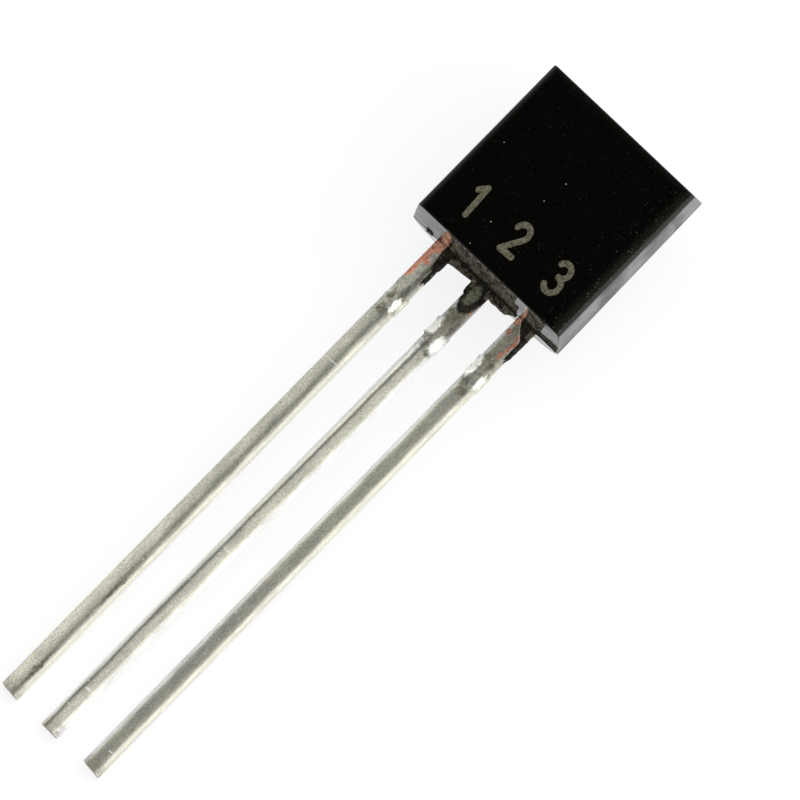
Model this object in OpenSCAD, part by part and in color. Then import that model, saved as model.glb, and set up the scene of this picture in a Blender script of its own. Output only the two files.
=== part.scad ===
// Small-signal transistor in a TO-92 outline: a moulded epoxy case, flat in front and round behind, with
// three stamped leads in a row. It lies on its round back and its lead tips, flat face up.
//
// Inside each module x runs up the device, y runs across it with lead 1 on the +y side, and z runs out
// of the flat face. x = 0 is the foot of the case and z = 0 is the parting line, where the front faces
// of the leads lie. at_rest() then lays the whole device down.

/* [Case] */
// Width of the case at the parting line
case_w = 4.5; // [4.2:0.01:5]
// Height of the case at the parting line
case_h = 4.7; // [4.3:0.01:5.2]
// Depth of the case from the parting line to the flat face
flat_depth = 1.27; // [1:0.01:1.6]
// Draft of the two sides in front of the parting line, in degrees
side_draft = 3; // [1:0.5:6]
// Draft of the top and foot in front of the parting line, in degrees
front_draft = 7; // [1:0.5:10]
// Draft of the top and foot behind the parting line, in degrees
back_draft = 3; // [1:0.5:6]
// Radius of the upright edges of the flat face
side_edge_r = 0.14; // [0.05:0.01:0.3]
// Radius of the top and bottom edges of the flat face
end_edge_r = 0.05; // [0.02:0.01:0.15]

/* [Leads] */
// Distance between the middles of neighbouring leads
lead_pitch = 1.27; // [1.15:0.01:1.4]
// Width of a lead
lead_w = 0.47; // [0.4:0.01:0.55]
// Thickness of a lead
lead_t = 0.38; // [0.3:0.01:0.5]
// Length of the leads below the case
lead_l = 14; // [6:0.1:16]
// Radius along the edges of a lead
lead_edge_r = 0.06; // [0.02:0.01:0.1]
// Turn of each lead about its own length, below the trimmed dam bar
lead_turn = [-4, 16, -4]; // [-20:1:20]
// Slant of the cut at each lead's tip
tip_slant = [6, 0, 6]; // [0:1:15]

/* [Trimmed dam bar] */
// Distance from the case to the middle of the dam bar
dam_x = 1.56; // [1.2:0.01:2]
// Height of the dam bar's stubs on a lead
dam_h = 0.6; // [0.4:0.01:0.8]
// How far a trimmed stub stands out from the lead's side
dam_stub = 0.04; // [0.02:0.01:0.1]
// Height of a stub at its outer edge, where the trimming left it narrowest
dam_crest_h = 0.48; // [0.3:0.01:0.6]
// Drop of the cut on the right side of a lead from the cut on its left
dam_skew = 0.2; // [0:0.01:0.3]
// Length of the hollow that the trimming punch left on the front edge
punch_l = 0.5; // [0.3:0.01:0.6]
// Depth of that hollow, square to the edge
punch_d = 0.11; // [0.05:0.01:0.14]
// Length over which a lead turns, below the dam bar
turn_l = 0.6; // [0.3:0.05:1]

/* [Inner ends of the leads] */
// Height inside the case at which the outer leads widen into bond posts
post_x = 0.95; // [0.6:0.01:1.1]
// Height of a bond post
post_h = 0.75; // [0.5:0.01:0.8]
// How far a bond post reaches past its lead's side, towards the middle lead
post_in = 0.42; // [0.3:0.01:0.45]
// How far a bond post reaches past its lead's side, away from the middle lead
post_out = 0.12; // [0.05:0.01:0.2]
// Height inside the case at which the middle lead widens into the die paddle
paddle_x = 1.98; // [1.95:0.01:2.1]
// Height of the die paddle
paddle_h = 1.85; // [1.5:0.01:1.9]
// Width of the die paddle
paddle_w = 1.75; // [1.4:0.01:2.2]
// Radius of the paddle's and the posts' corners
plate_corner_r = 0.1; // [0.03:0.01:0.15]
// Radius of the half-round anchor notches in the paddle's sides
notch_r = 0.16; // [0.1:0.01:0.2]
// Distance from the paddle's upper edge down to the middle of the notches
notch_down = 0.4; // [0.3:0.01:0.6]

/* [Chip and wires] */
// Side of the square chip
die_w = 0.6; // [0.4:0.01:0.8]
// Thickness of the chip
die_t = 0.2; // [0.1:0.01:0.25]
// Distance from the paddle's lower edge to the middle of the chip
die_up = 0.85; // [0.75:0.01:1]
// Thickness of the layer under the chip
attach_t = 0.02; // [0.01:0.005:0.04]
// Fillet width of that layer around the chip
attach_rim = 0.04; // [0.01:0.01:0.08]
// Distance of each bond pad from the middle of the chip
pad_out = 0.14; // [0.1:0.01:0.18]
// Diameter of the bond wires
wire_d = 0.03; // [0.025:0.001:0.05]
// Rise of a wire's arch above the straight line between its ends
wire_rise = 0.3; // [0.2:0.01:0.4]
// Diameter of the ball on the chip
ball_d = 0.1; // [0.07:0.01:0.12]
// Height of the ball
ball_h = 0.045; // [0.035:0.001:0.06]
// Diameter of the stitch on the post
stitch_d = 0.08; // [0.06:0.01:0.1]
// Height of the stitch
stitch_h = 0.036; // [0.03:0.001:0.05]

/* [Resin flash] */
// Drop of the resin left between leads 1 and 2, from lead 1 to lead 2
flash_left = [0.15, 0.12, 0.13, 0.09, 0.1, 0.08]; // [0.05:0.01:0.2]
// Drop of the resin left between leads 2 and 3, from lead 2 to the broken end
flash_right = [0.1, 0.12, 0.1, 0.11, 0.04]; // [0.03:0.01:0.2]
// Distance from lead 3 at which the resin to its left is broken off
flash_gap = 0.35; // [0.2:0.01:0.5]
// Length of the resin fins: right of lead 1, left of lead 2, right of lead 2 and right of lead 3
fin_l = [0.55, 0.5, 0.6, 0.9]; // [0.3:0.01:1]
// How far each fin stands out from its lead's side at the case
fin_out = [0.05, 0.03, 0.04, 0.05]; // [0.02:0.01:0.08]
// How far each fin laps over its lead's front face as a thin skin
fin_lap = [0.13, 0.1, 0.08, 0.06]; // [0.04:0.01:0.2]
// Thickness of the resin skin on a lead's front face
skin_t = 0.015; // [0.01:0.005:0.03]

/* [Hidden] */
$fn = 64;
edge_fn = 32;                       // facets round the small edges and corners
wire_fn = 24;                       // facets round a bond wire

back_r = case_w / 2;
back_inset = back_r * tan(back_draft);
inside_l = 0.3;                     // how far a lead's rounded stretch runs into the case
over = 0.1;                         // overlap of joined shapes, and reach of cutters past what they cut
skin_in = 0.02;                     // how far resin beside a lead laps over its rounded edge
neck_trim = 0.008;                  // how much slimmer a lead is where it turns
fin_shoulder = 0.85;                // share of a fin's length at which its sides turn in to its end
fin_taper = 0.6;                    // share of its standing-out that is left there

lead_y = [lead_pitch, 0, -lead_pitch];           // emitter, collector and base
fin_at = [[0, -1], [1, 1], [1, -1], [2, -1]];    // lead and side of each fin, side 1 being the left

dam_end = dam_x + dam_skew / 2 + dam_h / 2;
punch_r = (punch_l * punch_l / 4 + punch_d * punch_d) / (2 * punch_d);

die_x = paddle_x + die_up;
die_top = attach_t + die_t;
post_mid_x = post_x + post_h / 2;
stitch_y = lead_pitch - lead_w / 2 - post_in / 2;

// Tilt at which the foot of the round back and the lead tips touch the surface together
rest_tilt = atan((back_r - lead_t) / (lead_l + back_inset));
tip_low = lead_l * sin(rest_tilt) + lead_t * cos(rest_tilt);
tip_far = -lead_l * cos(rest_tilt);
top_far = max(case_h * cos(rest_tilt),
              (case_h - back_inset) * cos(rest_tilt) + back_r * sin(rest_tilt));

module at_rest() {
    translate([-(tip_far + top_far) / 2, 0, tip_low]) rotate([0, -rest_tilt, 0]) children();
}

// Extrudes an outline drawn across the device, along x from one height to another
module along_x(from, to) {
    translate([from, 0, 0]) rotate([90, 0, 90]) linear_extrude(to - from) children();
}

// Extrudes an outline drawn on the leads' plane through their thickness
module stamped() {
    translate([0, 0, -lead_t]) linear_extrude(lead_t) children();
}

// ---- Case ----

// Front half of the case in outline: full width at the parting line, drafted in to the rounded flat face
module front_outline(width, draft, corner_r) {
    mid = width / 2 - corner_r / cos(draft) - (flat_depth - corner_r) * tan(draft);
    mid_z = flat_depth - corner_r;
    side = mid + corner_r * cos(draft);
    side_z = mid_z + corner_r * sin(draft);
    polygon([[-width / 2, 0], [width / 2, 0], [side, side_z], [mid, flat_depth], [-mid, flat_depth],
             [-side, side_z]]);
    for (end = [-1, 1]) translate([end * mid, mid_z]) circle(corner_r);
}

module case_section() {
    front_outline(case_w, side_draft, side_edge_r);
    difference() {
        circle(back_r);
        translate([-back_r, 0]) square([case_w, back_r + over]);
    }
}

module case_profile() {
    half = case_h / 2;
    front_outline(case_h, front_draft, end_edge_r);
    polygon([[-half, 0], [-half + back_inset, -back_r], [half - back_inset, -back_r], [half, 0]]);
}

module case_body() {
    intersection() {
        along_x(-over, case_h + over) case_section();
        translate([case_h / 2, 0, 0]) rotate([90, 0, 0])
            linear_extrude(case_w + 2 * over, center = true) case_profile();
    }
}

// Resin broken off between two leads: a low ridge whose drop varies from y_from to y_to
module flash_ridge(y_from, y_to, drops) {
    last = len(drops) - 1;
    lower = [for (i = [0:last]) [-drops[i], y_from + (y_to - y_from) * i / last]];
    stamped() polygon(concat([[over, y_from]], lower, [[over, y_to]]));
}

// Resin left along one side of a lead, lapping over its front face as a thin skin
module flash_fin(i) {
    side = fin_at[i][1];
    inner = lead_w / 2 - fin_lap[i];
    outer = lead_w / 2 + fin_out[i];
    shoulder = lead_w / 2 + fin_taper * fin_out[i];
    turn_x = -fin_shoulder * fin_l[i];
    translate([0, lead_y[fin_at[i][0]], -lead_t]) linear_extrude(lead_t + skin_t)
        polygon([[over, side * inner], [over, side * outer], [turn_x, side * shoulder],
                 [-fin_l[i], side * (lead_w / 2 - skin_in)], [turn_x, side * inner]]);
}

module resin_flash() {
    edge = lead_w / 2 - skin_in;
    flash_ridge(lead_y[0] - edge, lead_y[1] + edge, flash_left);
    flash_ridge(lead_y[1] - edge, lead_y[2] + edge + flash_gap, flash_right);
    for (i = [0:len(fin_at) - 1]) flash_fin(i);
}

module case() {
    color([0.06, 0.06, 0.06]) at_rest() difference() {
        union() {
            case_body();
            resin_flash();
        }
        for (y = lead_y) translate([0, y, 0]) lead_root();
        bond_post(1);
        die_paddle();
        bond_post(-1);
        die_block();
        attach_block();
        bond_wire(1);
        bond_wire(-1);
    }
}

// ---- Leads ----

// Cross-section of a lead, with its edges rounded by the stamping, less trim all round
module lead_section(trim) {
    flat_w = lead_w - 2 * lead_edge_r;
    flat_t = lead_t - 2 * lead_edge_r;
    square([flat_w, lead_t - 2 * trim], center = true);
    square([lead_w - 2 * trim, flat_t], center = true);
    for (a = [-1, 1], b = [-1, 1])
        translate([a * flat_w / 2, b * flat_t / 2]) circle(lead_edge_r - trim, $fn = edge_fn);
}

// The same section turned about the lead's own length, with its lowest corner kept on the back plane
module turned_section(turn, trim = 0) {
    half_w = lead_w / 2 - lead_edge_r;
    half_t = lead_t / 2 - lead_edge_r;
    depth = half_w * abs(sin(turn)) + half_t * cos(turn) + lead_edge_r;
    translate([0, depth - lead_t]) rotate(turn) lead_section(trim);
}

// Stub of the dam bar on one side of a lead, side 1 being the left
module dam_stub_outline(side) {
    mid = -dam_x + side * dam_skew / 2;
    outer = side * (lead_w / 2 + dam_stub);
    inner = side * (lead_w / 2 - lead_edge_r);
    polygon([[mid + dam_h / 2, inner], [mid + dam_crest_h / 2, outer], [mid - dam_crest_h / 2, outer],
             [mid - dam_h / 2, inner]]);
}

// What the trimming punch scooped off the front edge of a stub
module punch_hollow(side) {
    out = (punch_r - punch_d) * sqrt(0.5);
    translate([-dam_x + side * dam_skew / 2, side * (lead_w / 2 + dam_stub + out), out])
        rotate([45 * side, 0, 0]) cylinder(h = 2 * lead_w, r = punch_r, center = true);
}

// Cuts the tip, longest on the right side of the lead
module tip_cut(slant) {
    reach = 2 * lead_w;
    translate([-lead_l, -lead_w / 2, 0]) rotate([0, 0, -slant])
        translate([-reach, 0, 0]) cube(2 * reach, center = true);
}

// The straight stretch of a lead from just inside the case to the foot of the dam bar's stubs
module lead_root() {
    along_x(-dam_end, inside_l) turned_section(0);
}

// All of a lead from just inside the case to its tip
module lead_strip(turn, slant) {
    difference() {
        union() {
            lead_root();
            hull() {
                along_x(-dam_end, -dam_end + over) turned_section(0, neck_trim);
                along_x(-dam_end - turn_l - over, -dam_end - turn_l) turned_section(turn, neck_trim);
            }
            along_x(-lead_l - over, -dam_end - turn_l) turned_section(turn);
            for (side = [-1, 1]) stamped() dam_stub_outline(side);
        }
        for (side = [-1, 1]) punch_hollow(side);
        tip_cut(slant);
    }
}

// A plate of the lead frame in outline, drawn from its lower edge, with rounded corners
module plate(x, height, y_low, y_high) {
    r = plate_corner_r;
    translate([x, y_low + r]) square([height, y_high - y_low - 2 * r]);
    translate([x + r, y_low]) square([height - 2 * r, y_high - y_low]);
    for (a = [x + r, x + height - r], b = [y_low + r, y_high - r]) translate([a, b]) circle(r, $fn = edge_fn);
}

// Inner end of an outer lead, with its bond post reaching in towards the middle lead
module bond_post(side) {
    mirror([0, side > 0 ? 0 : 1, 0]) translate([0, lead_pitch, 0]) stamped() {
        translate([inside_l, -lead_w / 2]) square([post_mid_x - inside_l, lead_w]);
        plate(post_x, post_h, -lead_w / 2 - post_in, lead_w / 2 + post_out);
    }
}

// Inner end of the middle lead: its stem widens into the paddle that carries the chip
module die_paddle() {
    notch_x = paddle_x + paddle_h - notch_down;
    stamped() difference() {
        union() {
            translate([inside_l, -lead_w / 2]) square([paddle_x + paddle_h / 2 - inside_l, lead_w]);
            plate(paddle_x, paddle_h, -paddle_w / 2, paddle_w / 2);
        }
        for (side = [-1, 1]) translate([notch_x, side * paddle_w / 2]) circle(notch_r);
    }
}

module lead(index) {
    color([0.62, 0.61, 0.56]) at_rest() {
        translate([0, lead_y[index], 0]) lead_strip(lead_turn[index], tip_slant[index]);
        if (index == 0) bond_post(1);
        if (index == 1) die_paddle();
        if (index == 2) bond_post(-1);
    }
}

module emitter_lead() { lead(0); }
module collector_lead() { lead(1); }
module base_lead() { lead(2); }

// ---- Chip and wires ----

module attach_block() {
    side = die_w + 2 * attach_rim;
    translate([die_x - side / 2, -side / 2, 0]) cube([side, side, attach_t]);
}

module die_block() {
    translate([die_x - die_w / 2, -die_w / 2, attach_t]) cube([die_w, die_w, die_t]);
}

// Arch of wire from the chip's pad on one side to the bond post on that side
module bond_wire(side) {
    r = wire_d / 2;
    pad = [die_x - pad_out, side * pad_out, die_top + r];
    stitch = [post_mid_x, side * stitch_y, r];
    run = norm([stitch.x - pad.x, stitch.y - pad.y]);
    fall = pad.z - stitch.z;
    chord = norm([run, fall]);
    arch_r = (chord * chord / 4 + wire_rise * wire_rise) / (2 * wire_rise);
    half_angle = asin(chord / 2 / arch_r);
    lean = atan2(fall, run);
    heading = atan2(stitch.y - pad.y, stitch.x - pad.x);
    translate(pad) rotate([0, 0, heading]) rotate([90, 0, 0]) rotate([0, 0, -lean])
        translate([chord / 2, wire_rise - arch_r, 0]) rotate([0, 0, 90 - half_angle])
            rotate_extrude(angle = 2 * half_angle) translate([arch_r, 0]) circle(r, $fn = wire_fn);
    translate([pad.x, pad.y, die_top]) cylinder(h = ball_h, d = ball_d, $fn = edge_fn);
    translate([stitch.x, stitch.y, 0]) cylinder(h = stitch_h, d = stitch_d, $fn = edge_fn);
}

module silicon_die() { color([0.35, 0.36, 0.4]) at_rest() die_block(); }
module die_attach() { color([0.75, 0.75, 0.78]) at_rest() attach_block(); }
module emitter_wire() { color([0.85, 0.65, 0.2]) at_rest() bond_wire(1); }
module base_wire() { color([0.85, 0.65, 0.2]) at_rest() bond_wire(-1); }

case();
emitter_lead();
collector_lead();
base_lead();
silicon_die();
die_attach();
emitter_wire();
base_wire();
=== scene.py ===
from math import atan, atan2, cos, pi, radians, sin, sqrt, tan

import bmesh
import bpy
from mathutils import Matrix, Vector


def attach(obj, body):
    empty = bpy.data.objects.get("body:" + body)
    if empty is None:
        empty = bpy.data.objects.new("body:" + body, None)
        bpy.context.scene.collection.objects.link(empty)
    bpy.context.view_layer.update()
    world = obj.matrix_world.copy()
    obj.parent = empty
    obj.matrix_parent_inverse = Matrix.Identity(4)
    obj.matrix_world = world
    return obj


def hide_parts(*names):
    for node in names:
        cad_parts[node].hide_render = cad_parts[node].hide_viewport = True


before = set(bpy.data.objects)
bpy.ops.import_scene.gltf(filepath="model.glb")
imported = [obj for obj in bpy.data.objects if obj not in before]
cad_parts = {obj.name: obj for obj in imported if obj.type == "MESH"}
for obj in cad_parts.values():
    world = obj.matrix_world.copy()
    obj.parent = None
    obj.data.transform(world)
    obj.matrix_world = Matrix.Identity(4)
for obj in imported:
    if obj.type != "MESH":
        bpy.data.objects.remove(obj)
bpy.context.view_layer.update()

# The device is modelled in millimetres: x up the device from the foot of the case, y across it towards
# the emitter lead, z out of the flat face, with z = 0 on the parting line. LAID_DOWN then puts each
# finished piece where the device rests.
MM = 0.001
LEADS = ("emitter_lead", "collector_lead", "base_lead")


def by_lead(left, middle, right):
    return dict(zip(LEADS, (left, middle, right)))


CASE_W = 4.5
CASE_H = 4.7
FLAT_DEPTH = 1.27
SIDE_DRAFT = radians(3)
FRONT_DRAFT = radians(7)
BACK_DRAFT = radians(3)
SIDE_EDGE_R = 0.14
END_EDGE_R = 0.05
RIM_EDGE = 0.025  # softened edge round the foot and the top of the case
DRAWN_IN = 0.05  # how far the right side draws in at the top, on the parting line
DRAWN_IN_FLAT = 0.02  # the same on the flat

LEAD_PITCH = 1.27
LEAD_W = 0.47
LEAD_T = 0.38
LEAD_L = 14.0
LEAD_EDGE_R = 0.06
LEAD_Y = by_lead(LEAD_PITCH, 0.0, -LEAD_PITCH)
LEAD_TURN = by_lead(-4, 16, -4)  # how far each strip is turned about its own length, in degrees
TIP_SLANT = by_lead(6, 0, 6)  # how far the cut across each tip slants, in degrees

DAM_X = 1.56
DAM_H = 0.6
DAM_CREST_H = 0.48
# How far the stubs of the dam bar stand out on the right and on the left of each lead.
DAM_STUB = by_lead((0.03, 0.01), (0.02, 0.04), (0.02, 0.035))
DAM_SKEW = 0.2  # how much further up a lead's left stub sits than its right one
STUB_IN = 0.002  # how far a stub's faces lie inside the strip's
PUNCH_L = 0.5  # length and depth of the hollows that the trimming punch left
PUNCH_D = 0.11
TURN_L = 0.6  # length over which a lead turns
TURN_STEPS = 12
INSIDE_L = 0.3

POST_X = 0.95
POST_H = 0.75
POST_IN = 0.42
POST_OUT = 0.12
PADDLE_X = 1.98
PADDLE_H = 1.85
PADDLE_W = 1.75
PLATE_CORNER_R = 0.1
NOTCH_R = 0.16
NOTCH_DOWN = 0.4

FLASH_LEFT = (0.19, 0.17, 0.155, 0.14, 0.12, 0.11)
FLASH_RIGHT = (0.16, 0.17, 0.155, 0.165, 0.155, 0.08, 0.02)
FLASH_GAP = 0.1
# Resin along the sides of the leads: (lead, side, length, how far it stands out, how far it laps over
# the front, how far back it reaches).
FINS = (("emitter_lead", -1, 0.55, 0.045, 0.13, LEAD_T), ("emitter_lead", -1, 1.05, 0.008, 0.05, LEAD_T),
        ("collector_lead", 1, 0.5, 0.07, 0.06, LEAD_T), ("collector_lead", -1, 0.5, 0.012, 0.08, 0.16),
        ("base_lead", -1, 0.96, 0.045, 0.035, LEAD_T))
# Where the gate and the flash broke off the foot: (left end, right end, lowest, highest) along y and z.
SCARS = ((1.15, -0.76, -0.1, 1.22), (-0.7, -0.93, -0.1, 0.62), (-1.2, -1.64, -0.1, 1.2),
         (-1.6, -1.9, -0.06, 0.3), (-1.92, -2.19, -0.12, 0.34), (1.84, 1.66, -0.16, 0.16))
SCAR_T = 0.016  # how far the scars stand out of the foot
SCAR_LEAN = 0.11  # how far they lean to the right, as a share of their height
SKIN_T = 0.015
FIN_SHOULDER = 0.85  # share of a fin's length at which its sides turn in to its end
FIN_TAPER = 0.6  # share of its standing-out that is left there
SKIN_IN = 0.02  # how far resin beside a lead laps over its rounded edge
OVER = 0.1  # how far joined shapes run into each other
RING_GAP = 0.4  # distance between the rings of edges along a lead
STAMPED_EDGE = 0.012  # softened edge of the stubs, the hollows, the tip and the plates
RESIN_GRAIN = 0.014  # face size of the broken resin
CRUMB_FACES = 120  # loose bits of resin with fewer faces than this have fallen off

NUMBER_H = 0.93  # height of a pin number
NUMBER_STROKE = 0.15
NUMBER_FOOT = 0.62  # from the foot of the case up to the foot of the numbers
NUMBER_SLOPE = radians(3)
INK_T = 0.008
INK_SUNK = INK_T / 8  # how far the ink reaches into the flat
NUMBER_NARROW = 0.88  # how far the numbers are squeezed in

DIE_W = 0.6
DIE_X = PADDLE_X + 0.85  # middle of the chip
BOND_OUT = 0.14  # distance of each bond pad from the middle of the chip
BOND_PAD = 0.075  # half the side of a bond pad

# The tent's light on each side, where 1 is white. The leads point away from its top side.
TENT_RIGHT = 1.2
TENT_LEFT = 0.35
TENT_ENDS = 0.4
TENT_FOOT_DIM = 0.4  # share of the light that is left on the side that the leads point to
TENT_DARK = 0.02  # share that is left right above
TENT_BRIGHT_BELOW = 0.7  # height, as a share of straight up, below which the tent is bright
TENT_DARK_ABOVE = 0.92
SHADOW_HIDDEN = 0.85  # share of the floor's own shadow that the camera doesn't see
# These four are in metres.
FLOOR_SIZE = 0.8
CAMERA_FAR = 0.4
LAMP_PLACE = (0.1, -0.06, 0.5)
LAMP_SIZE = 0.5
LAMP_WATTS = 2.85
POINTS_PER_MM = 44.724  # picture points per millimetre of the device
FRAME_POINTS = 800

SMOOTH_BELOW = radians(35)  # faces that meet at less look like one surface
WHITE = (1, 1, 1, 1)

BACK_R = CASE_W / 2
FLAT_EDGE = BACK_R - FLAT_DEPTH * tan(SIDE_DRAFT)  # half the width of the flat
BACK_INSET = BACK_R * tan(BACK_DRAFT)
DAM_END = DAM_X + DAM_SKEW / 2 + DAM_H / 2
REST_TILT = atan((BACK_R - LEAD_T) / (LEAD_L + BACK_INSET))
FOOT_UP = LEAD_L * sin(REST_TILT) + LEAD_T * cos(REST_TILT)
TIP_FAR = -LEAD_L * cos(REST_TILT)
TOP_FAR = max(CASE_H * cos(REST_TILT), (CASE_H - BACK_INSET) * cos(REST_TILT) + BACK_R * sin(REST_TILT))
FOOT_PLACE = Vector((-(TIP_FAR + TOP_FAR) / 2, 0, FOOT_UP)) * MM
LAID_DOWN = Matrix.Translation(FOOT_PLACE) @ Matrix.Rotation(-REST_TILT, 4, "Y") @ Matrix.Scale(MM, 4)


# ---- Handling pieces ----

def deselect_all():
    if bpy.context.mode != "OBJECT":
        bpy.ops.object.mode_set(mode="OBJECT")
    bpy.ops.object.select_all(action="DESELECT")


def take(piece):
    """Makes piece the only one in hand."""
    deselect_all()
    piece.hide_set(False)
    piece.select_set(True)
    bpy.context.view_layer.objects.active = piece


def settle(piece):
    """Applies the piece's own place, turn and scale to its mesh."""
    take(piece)
    bpy.ops.object.transform_apply()


def put(piece, place):
    """Moves the piece to a place, given as a matrix, and applies that to its mesh."""
    piece.matrix_world = place
    settle(piece)


def turned(place, angle):
    """The matrix that turns about z and then moves to a place."""
    return Matrix.Translation(place) @ Matrix.Rotation(angle, 4, "Z")


def new_block(name, corner, opposite):
    """A block between two opposite corners."""
    deselect_all()
    corner, opposite = Vector(corner), Vector(opposite)
    bpy.ops.mesh.primitive_cube_add(size=1, location=(corner + opposite) / 2)
    block = bpy.context.object
    block.name = name
    block.scale = [abs(side) for side in opposite - corner]
    settle(block)
    return block


def new_rod(name, radius, length, middle, turn, sides=96):
    """A round rod about its middle, along z until it is turned."""
    deselect_all()
    bpy.ops.mesh.primitive_cylinder_add(vertices=sides, radius=radius, depth=length, location=middle,
                                        rotation=turn)
    rod = bpy.context.object
    rod.name = name
    settle(rod)
    return rod


def edit(piece, kind, everything=False):
    """Opens the piece for shaping, with nothing in hand or with everything."""
    take(piece)
    bpy.ops.object.mode_set(mode="EDIT")
    bpy.ops.mesh.select_mode(type=kind)
    bpy.ops.mesh.select_all(action="SELECT" if everything else "DESELECT")


def pick(piece, kind, wanted):
    """Selects the vertices, edges or faces that wanted() answers yes to, and nothing else."""
    edit(piece, kind)
    shape = bmesh.from_edit_mesh(piece.data)
    for part in {"VERT": shape.verts, "EDGE": shape.edges, "FACE": shape.faces}[kind]:
        if wanted(part):
            part.select_set(True)
    shape.select_flush_mode()
    bmesh.update_edit_mesh(piece.data)


def near(first, second):
    return abs(first - second) < 1e-3


def finish_edit():
    bpy.ops.object.mode_set(mode="OBJECT")


def move_points(piece, wanted, way):
    """Moves the vertices that wanted() answers yes to."""
    pick(piece, "VERT", wanted)
    bpy.ops.transform.translate(value=way)
    finish_edit()


def round_edges(piece, wanted, width, segments=6):
    """Rounds the edges that wanted() answers yes to; the width is how far each face is cut back."""
    pick(piece, "EDGE", wanted)
    bpy.ops.mesh.bevel(offset=width, offset_type="OFFSET", segments=segments, profile=0.5)
    finish_edit()


def slice_at(piece, place, normal, keep_all=True):
    """Cuts the piece across at a plane. The side that normal points to goes, unless keep_all."""
    edit(piece, "FACE", everything=True)
    bpy.ops.mesh.bisect(plane_co=place, plane_no=normal, use_fill=not keep_all, clear_outer=not keep_all,
                        threshold=1e-5)
    finish_edit()


def apply_modifier(piece, kind, **settings):
    take(piece)
    modifier = piece.modifiers.new(kind.title(), kind)
    for setting, value in settings.items():
        setattr(modifier, setting, value)
    bpy.ops.object.modifier_apply(modifier=modifier.name)


def carve(piece, tool, operation):
    """Cuts the tool out of the piece or adds it, and throws the tool away."""
    apply_modifier(piece, "BOOLEAN", object=tool, operation=operation, solver="MANIFOLD")
    bpy.data.objects.remove(tool)


def soften(piece, width, angle, segments=2):
    """Bevels every edge where faces meet at more than that angle, in degrees."""
    apply_modifier(piece, "BEVEL", width=width, segments=segments, limit_method="ANGLE",
                   angle_limit=radians(angle))


def close_seams(piece, gap):
    """Merges points that lie nearer to each other than the gap."""
    edit(piece, "VERT", everything=True)
    bpy.ops.mesh.remove_doubles(threshold=gap)
    finish_edit()


def face_outwards(piece):
    edit(piece, "VERT", everything=True)
    bpy.ops.mesh.normals_make_consistent(inside=False)
    finish_edit()


def copy_of(piece):
    """A copy with a mesh of its own."""
    take(piece)
    bpy.ops.object.duplicate(linked=False)
    return bpy.context.object


def join(parts, name):
    """Makes one piece of the parts, without melting them together."""
    deselect_all()
    for part in parts:
        part.select_set(True)
    bpy.context.view_layer.objects.active = parts[0]
    bpy.ops.object.join()
    whole = bpy.context.object
    whole.name = name
    return whole


def fuse_and_roughen(piece, grain):
    """Melts overlapping shapes into one closed skin of small even faces."""
    take(piece)
    piece.data.remesh_voxel_size = grain
    bpy.ops.object.voxel_remesh()


def ripple(piece, size, height, name):
    """Moves the surface in and out by up to half of height, in soft clouds of about that size."""
    clouds = bpy.data.textures.new(name, "CLOUDS")
    clouds.noise_scale = size
    clouds.noise_depth = 2
    apply_modifier(piece, "DISPLACE", texture=clouds, texture_coords="LOCAL", strength=height)


def drop_crumbs(piece):
    """Deletes the loose bits that are too small to have stayed on."""
    name = piece.name
    take(piece)
    bpy.ops.mesh.separate(type="LOOSE")
    bits = list(bpy.context.selected_objects)
    kept = [bit for bit in bits if len(bit.data.polygons) >= CRUMB_FACES]
    for bit in bits:
        if bit not in kept:
            bpy.data.objects.remove(bit)
    return join(kept, name)


def finish_piece(piece, slot, *nodes, flat_faces=False):
    """Lays the piece down, hangs it on the root and hides the parts that it stands for."""
    face_outwards(piece)
    put(piece, LAID_DOWN)
    bpy.ops.object.shade_smooth_by_angle(angle=SMOOTH_BELOW)
    if flat_faces:
        apply_modifier(piece, "WEIGHTED_NORMAL", keep_sharp=True)
    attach(piece, "root")
    if nodes:
        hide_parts(*nodes)


def coat(piece, material):
    """Gives the whole piece one material."""
    piece.data.materials.clear()
    piece.data.materials.append(material)
    for face in piece.data.polygons:
        face.material_index = 0


# ---- Case ----

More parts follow.
